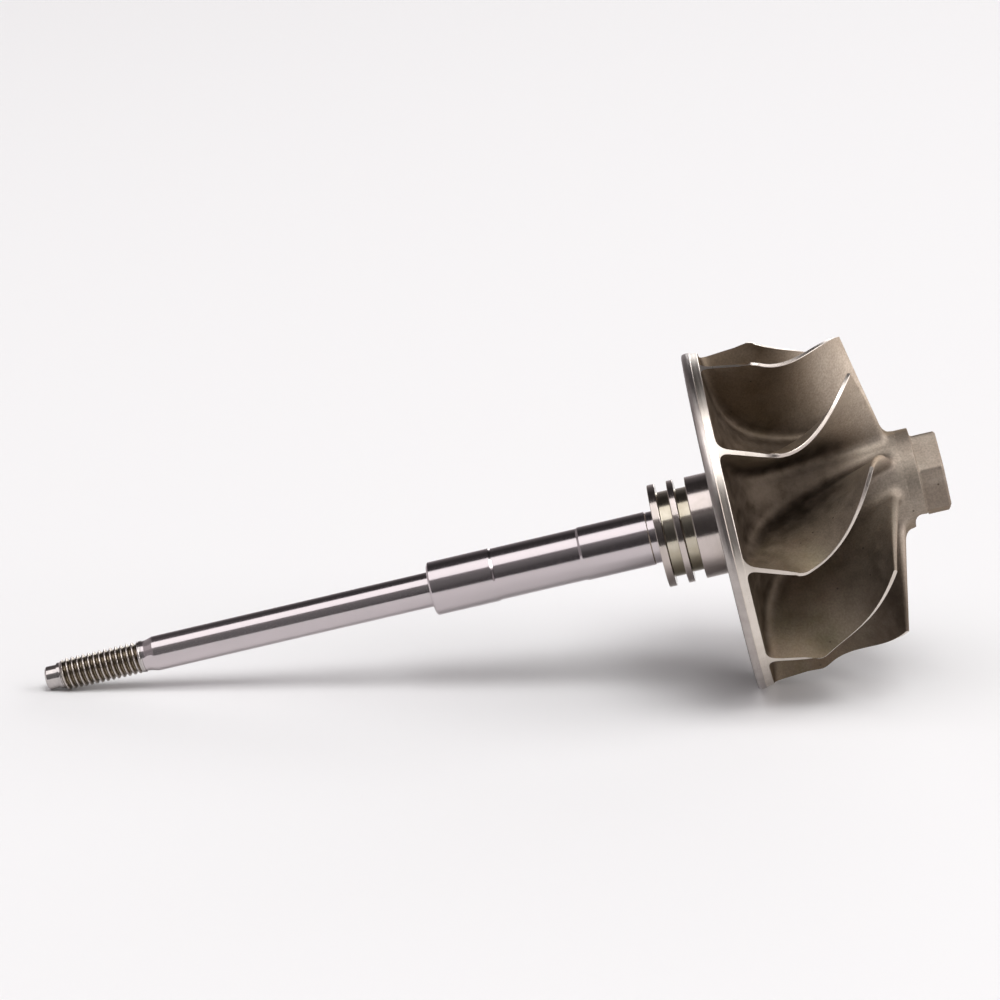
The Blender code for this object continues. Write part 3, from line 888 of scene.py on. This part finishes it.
# What colours the casting. A reach runs from where something begins to where it is full: along the
# stations, out from the axis, down from it, or off the hub's skin.
BROAD_TONE_SIZE, CLOSE_TONE_SIZE = 14.0, 2.5
SOOTY_TONES = (0.215, 0.145, 0.105), (0.19, 0.17, 0.10)
BEIGE_TONES, BEIGE_ALONG = ((0.40, 0.335, 0.28), (0.36, 0.325, 0.27)), (132.0, 147.0)
UPPER_SIDE, UPPER_SIDE_FULL = (6.0, -12.0), 0.9
# Painted light: the blades' upper sides are made lighter out from the axis
UPPER_LIGHT, UPPER_LIGHT_OUT = (0.31, 0.24, 0.17), (13.0, 20.0)
# Painted highlight: paler still on the upper side towards the exit
EXIT_HIGHLIGHT, EXIT_HIGHLIGHT_OUT, EXIT_HIGHLIGHT_ALONG = (0.60, 0.52, 0.43), (10.0, 16.0), (133.0, 142.0)
# Painted shade: darker on the passages' floors, close to the hub's skin
FLOOR_SHADE, FLOOR_SHADE_FULL, FLOOR_SHADE_OFF_HUB, FLOOR_SHADE_ALONG = (0.055, 0.04, 0.028), 0.8, (4.5, 0.4), (146.0, 141.0)
# Painted shade: darker on the outer parts of the underside, before the collar
UNDERSIDE_SHADE, UNDERSIDE_SHADE_FULL, UNDERSIDE_SHADE_DOWN = (0.08, 0.055, 0.04), 0.85, (2.0, 14.0)
UNDERSIDE_SHADE_ALONG, UNDERSIDE_SHADE_BEFORE_COLLAR = (134.0, 142.0), (149.0, 147.0)
# Painted shadow of the near blade beside its foot, bounded by a sloping line under the next blade's fillet
BLADE_SHADOW, BLADE_SHADOW_FULL, BLADE_SHADOW_ALONG, BLADE_SHADOW_ACROSS = (0.05, 0.037, 0.027), 0.85, (144.5, 139.5), (0.0, -3.0)
SHADOW_LINE_STATION, SHADOW_LINE_HEIGHT, SHADOW_LINE_SLOPE = 136.2, -1.6, -0.6
BLADE_SHADOW_EDGE, BLADE_SHADOW_TOP, BLADE_SHADOW_BOTTOM = (-0.2, -2.2), (-14.0, -10.5), (0.5, -2.0)
# Darker on the lower half of the hexagon and the collar's end
COLLAR_END_DARK, COLLAR_END_DARK_FULL, COLLAR_END_DARK_DOWN, COLLAR_END_DARK_ALONG = (0.12, 0.085, 0.06), 0.35, (-0.3, 1.0), (153.9, 154.3)
MOTTLE, MOTTLE_RANGE = (0.45, 0.37, 0.30), (0.0, 0.3)
DARK_GRAIN, DARK_GRAIN_RANGE = (0.10, 0.08, 0.06), (0.35, 0.0)
PIT_COLOUR, CAST_EDGE_TINT = (0.11, 0.09, 0.07), (0.5, 0.41, 0.33, 1.0)
CAST_ROUGHNESS, HUB_CURVE_POINTS = (0.52, 0.66), 9

cast_alloy, tree, shader = metal("cast_alloy")
cast = placed(tree, cast_skin, Grain=0.35, Depth=0.014)
close_tone = placed(tree, patches, Size=CLOSE_TONE_SIZE)["Tone"]
below_axis, side_here, station_here = (part_of_place(tree, axis) for axis in range(3))
off_axis = from_axis(tree)
hub_here = node_in(
    tree, "ShaderNodeFloatCurve", {"Value": share_of(tree, station_here, DISC_FRONT, COLLAR_START)}
)
hub_points = hub_here.mapping.curves[0].points
for share in np.linspace(0.0, 1.0, HUB_CURVE_POINTS):
    height = hub_radius(DISC_FRONT + share * (COLLAR_START - DISC_FRONT)) / DISC_RADIUS
    if share in (0.0, 1.0):
        hub_points[int(share)].location = (share, height)
    else:
        hub_points.new(share, height)
hub_here.mapping.update()
hub_height = maths(tree, "MULTIPLY", hub_here.outputs["Value"], DISC_RADIUS)
off_hub = maths(tree, "SUBTRACT", off_axis, hub_height)


def where_all(*reaches):
    """The product of the shares of several reaches, each given as a value, its ends and its fullness."""
    product, *others = (share_of(tree, *reach) for reach in reaches)
    for share in others:
        product = maths(tree, "MULTIPLY", product, share)
    return product


# The blades' upper sides carry painted light out from the axis, and a paler painted highlight towards the
# exit.
# The passages' floors carry painted shade, and a painted shadow of the near blade lies beside its foot as
# far as the ridge of the next blade's fillet. The outer parts of the underside carry painted shade.
ridge = maths(tree, "MULTIPLY", station_here, SHADOW_LINE_SLOPE)
ridge = maths(tree, "ADD", ridge, SHADOW_LINE_HEIGHT - SHADOW_LINE_SLOPE * SHADOW_LINE_STATION)
below_ridge = maths(tree, "SUBTRACT", below_axis, ridge)
upper_side = below_axis, *UPPER_SIDE, UPPER_SIDE_FULL
coats_and_painted_light = (
    (UPPER_LIGHT, where_all(upper_side, (off_axis, *UPPER_LIGHT_OUT))),
    (EXIT_HIGHLIGHT, where_all(upper_side, (off_axis, *EXIT_HIGHLIGHT_OUT), (station_here, *EXIT_HIGHLIGHT_ALONG))),
    (FLOOR_SHADE, where_all((off_hub, *FLOOR_SHADE_OFF_HUB, FLOOR_SHADE_FULL), (station_here, *FLOOR_SHADE_ALONG))),
    (BLADE_SHADOW, where_all(
        (below_ridge, *BLADE_SHADOW_EDGE, BLADE_SHADOW_FULL),
        (below_axis, *BLADE_SHADOW_TOP),
        (below_axis, *BLADE_SHADOW_BOTTOM),
        (station_here, *BLADE_SHADOW_ALONG),
        (side_here, *BLADE_SHADOW_ACROSS),
    )),
    (UNDERSIDE_SHADE, where_all(
        (below_axis, *UNDERSIDE_SHADE_DOWN, UNDERSIDE_SHADE_FULL), (station_here, *UNDERSIDE_SHADE_ALONG), (station_here, *UNDERSIDE_SHADE_BEFORE_COLLAR)
    )),
    # Darker on the lower half of the hexagon and the collar's end
    (COLLAR_END_DARK, where_all((below_axis, *COLLAR_END_DARK_DOWN, COLLAR_END_DARK_FULL), (station_here, *COLLAR_END_DARK_ALONG))),
    (MOTTLE, spread(tree, close_tone, *MOTTLE_RANGE)),
    (DARK_GRAIN, spread(tree, cast["Grain Tone"], *DARK_GRAIN_RANGE)),
)
sooty, beige = (toned(tree, BROAD_TONE_SIZE, *tones) for tones in (SOOTY_TONES, BEIGE_TONES))
cast_colour = blended(tree, share_of(tree, station_here, *BEIGE_ALONG), sooty, beige)
for layer_colour, share in coats_and_painted_light:
    cast_colour = blended(tree, share, cast_colour, layer_colour)
set_inputs(tree, shader, {
    "Base Color": blended(tree, cast["Pits"], PIT_COLOUR, cast_colour),
    "Specular Tint": CAST_EDGE_TINT,
    "Roughness": spread(tree, close_tone, *CAST_ROUGHNESS),
    "Normal": cast["Normal"],
})

# The faces turned to size: fresh and bright in front of the line on the rim, dull behind it, and burnt on
# the disc's back
FRESH_TONES = (0.72, 0.66, 0.60), (0.60, 0.54, 0.48)
DULL_TONES = (0.46, 0.42, 0.40), (0.34, 0.30, 0.28)
BURNT, PAST_BURNT = (0.11, 0.095, 0.085), (DISC_BACK + 0.12, DISC_BACK + 0.2)
PAST_RIM_LINE = RIM_LINE - 0.05, RIM_LINE + 0.05
MACHINED_TONE_SIZE, MACHINED_ROUGHNESS = 4.0, (0.26, 0.40)

machined_alloy, tree, shader = metal("machined_alloy")
station_here = part_of_place(tree, 2)
dull = toned(tree, MACHINED_TONE_SIZE, *DULL_TONES)
burnt_back = blended(tree, share_of(tree, station_here, *PAST_BURNT), BURNT, dull)
fresh = toned(tree, MACHINED_TONE_SIZE, *FRESH_TONES)
machined_colour = blended(tree, share_of(tree, station_here, *PAST_RIM_LINE), burnt_back, fresh)
lathe_finish(
    tree, shader, machined_colour, MACHINED_ROUGHNESS, Spacing=0.16, Depth=0.004, Drift=0.15
)

# The tree turns the sector into the whole wheel, joins its seams, and gives the cast skin the slight
# waves that it has from the wax and the shell. The faces turned to size stay true.
wheel_values = {
    "Blades": BLADES,
    "First Blade": FIRST_BLADE_ANGLE,
    "Waves": CASTING_WAVES,
    "Wave Length": CASTING_WAVE_LENGTH,
    "Cast": cast_alloy,
    "Machined": machined_alloy,
}
tree, wheel_in, wheel_out = rule_for("wheel from one blade", wheel_values)
blade_number = made_in(tree, "GeometryNodeInputIndex", {})
one_blade = maths(tree, "DIVIDE", math.tau, wheel_in["Blades"])
blade_turn = maths(tree, "MULTIPLY", blade_number, one_blade)
blade_turn = maths(tree, "ADD", blade_turn, wheel_in["First Blade"])
set_round = made_in(tree, "GeometryNodeInstanceOnPoints", {
    "Points": made_in(tree, "GeometryNodePoints", {"Count": wheel_in["Blades"]}),
    "Instance": wheel_in["Mesh"],
    "Rotation": made_in(tree, "ShaderNodeCombineXYZ", {"Z": blade_turn}),
})
real = made_in(tree, "GeometryNodeRealizeInstances", {0: set_round})
joined = made_in(tree, "GeometryNodeMergeByDistance", {0: real, "Distance": SECTOR_SEAM})
is_machined = made_in(tree, "GeometryNodeInputNamedAttribute", {"Name": "machined"}, data_type="INT")
wave_scale = maths(tree, "DIVIDE", 1.0, wheel_in["Wave Length"])
waves = made_in(tree, "ShaderNodeTexNoise", {"Scale": wave_scale, "Detail": 1.0})
wave_height = maths(tree, "MULTIPLY", maths(tree, "SUBTRACT", waves, 0.5), wheel_in["Waves"])
cast_only = maths(tree, "LESS_THAN", is_machined, LEAST_MACHINED)
outward = made_in(tree, "GeometryNodeInputNormal", {})
wave_size = maths(tree, "MULTIPLY", wave_height, cast_only)
wave_step = made_in(tree, "ShaderNodeVectorMath", {0: outward, "Scale": wave_size}, operation="SCALE")
waved = made_in(tree, "GeometryNodeSetPosition", {0: joined, "Offset": wave_step})
coated = made_in(tree, "GeometryNodeSetMaterial", {0: waved, "Material": wheel_in["Cast"]})
turned_faces = {0: coated, "Selection": is_machined, "Material": wheel_in["Machined"]}
coated = made_in(tree, "GeometryNodeSetMaterial", turned_faces)
set_inputs(tree, wheel_out, {0: coated})

wheel_mesh = grown(tree, mesh_from("wheel_sector", sector), wheel_values)
wheel = on_rotor("turbine_wheel", reopened(wheel_mesh), list(wheel_mesh.materials))
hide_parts("back_disc", "wheel_hub", *(f"blade_{number + 1}" for number in range(BLADES)))

# The nose
# Part of the same casting: a collar that is ground away on one side to balance the rotor, and a hexagon
# that holds the rotor still while the compressor nut is tightened.
COLLAR_END, COLLAR_ROUNDING, COLLAR_LEDGE = 154.15, 0.2, 0.1
HEX_FLAT_RADIUS, HEX_CORNER_RADIUS = 6.665, 7.58
HEX_FIRST_CORNER = math.radians(10.4)
HEX_END, HEX_CHAMFER, HEX_FOOT = 158.6, 0.4, 0.5
# How far the hexagon has drawn in half way along its chamfer and at its end
CHAMFER_MIDDLE, CHAMFER_END = -0.14, -0.42
NOSE_SIDES = 144
CUT_START, CUT_FLOOR, CUT_ANGLE = 151.9, 6.57, math.radians(-14.0)
CUT_WALL, CUT_SCOOP, CUT_FLOOR_RISE = 0.75, 1.25, 0.1
CUTTER_REACH, CUTTER_HALF_LENGTH = 2 * COLLAR_RADIUS, 1.5 * COLLAR_RADIUS


def hex_radius(turn):
    """How far the hexagon reaches at an angle, with its corners turned off."""
    from_flat = (turn - HEX_FIRST_CORNER) % (math.pi / 3) - math.pi / 6
    return min(HEX_FLAT_RADIUS / math.cos(from_flat), HEX_CORNER_RADIUS)


def quarter(step):
    """How far a quarter of a circle of radius 1 has gone on, and how far up, after a step."""
    turn = math.pi / 2 * step / ARC_STEPS
    return 1 - math.cos(turn), math.sin(turn)


# The collar's rings as (station, radius), and the hexagon's as (station, how far past its own shape)
collar_rings = rounded((
    (COLLAR_JOIN, 0.0, 0.0),
    (COLLAR_JOIN, COLLAR_RADIUS, 0.0),
    (COLLAR_END, COLLAR_RADIUS, COLLAR_ROUNDING),
    (COLLAR_END, HEX_CORNER_RADIUS + HEX_FOOT + COLLAR_LEDGE, 0.0),
))
foot = [quarter(step) for step in range(ARC_STEPS + 1)]
hex_rings = [(COLLAR_END + HEX_FOOT * on, HEX_FOOT * (1 - up)) for on, up in foot]
hex_rings += [
    (COLLAR_END + HEX_FOOT + HOLD, 0.0),
    (HEX_END - HEX_CHAMFER - HOLD, 0.0),
    (HEX_END - HEX_CHAMFER, 0.0),
    (HEX_END - HEX_CHAMFER / 2, CHAMFER_MIDDLE),
    (HEX_END, CHAMFER_END),
    (HEX_END, CHAMFER_END - HOLD),
]
nose_cut = bmesh.new()
nose_turns = full_turn(NOSE_SIDES, HEX_FIRST_CORNER)
nose_rings = [ring(nose_cut, station, radius, nose_turns) for station, radius in collar_rings]
for station, further in hex_rings:
    nose_rings.append(ring(nose_cut, station, lambda turn: hex_radius(turn) + further, nose_turns))
close_between(nose_cut, [*nose_rings, ring(nose_cut, HEX_END, 0.0, nose_turns)])
bmesh.ops.recalc_face_normals(nose_cut, faces=nose_cut.faces)

# The balance cut: a grinding wheel's rounded edge, swept straight across the collar
cutter_outline = [(CUT_START, CUTTER_REACH), (CUT_START, COLLAR_RADIUS - CUT_WALL)]
for on, up in foot[1:]:
    cutter_outline.append((CUT_START + CUT_SCOOP * on, COLLAR_RADIUS - CUT_WALL - CUT_SCOOP * up))
cutter_end = COLLAR_END + HEX_FOOT
cutter_outline += [(cutter_end, CUT_FLOOR + CUT_FLOOR_RISE), (cutter_end, CUTTER_REACH)]
cutter_shape = bmesh.new()
cutter_ends = [
    [cutter_shape.verts.new((radius, side, station)) for station, radius in cutter_outline]
    for side in (-CUTTER_HALF_LENGTH, CUTTER_HALF_LENGTH)
]
for end in cutter_ends:
    cutter_shape.faces.new(end)
close_between(cutter_shape, cutter_ends)
bmesh.ops.recalc_face_normals(cutter_shape, faces=cutter_shape.faces)
cutter = in_scene("balance_cutter", mesh_from("balance_cutter", cutter_shape))
cutter.rotation_euler.z = CUT_ANGLE
whole = in_scene("whole_nose", mesh_from("whole_nose", nose_cut))
ground_away = whole.modifiers.new("balance cut", "BOOLEAN")
ground_away.operation = "DIFFERENCE"
ground_away.solver = "EXACT"
ground_away.object = cutter
nose_mesh = changed(whole)
bpy.data.objects.remove(cutter)
nose = on_rotor("nose_and_hexagon", reopened(nose_mesh), [cast_alloy])
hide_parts("nose_collar", "hex_nose")
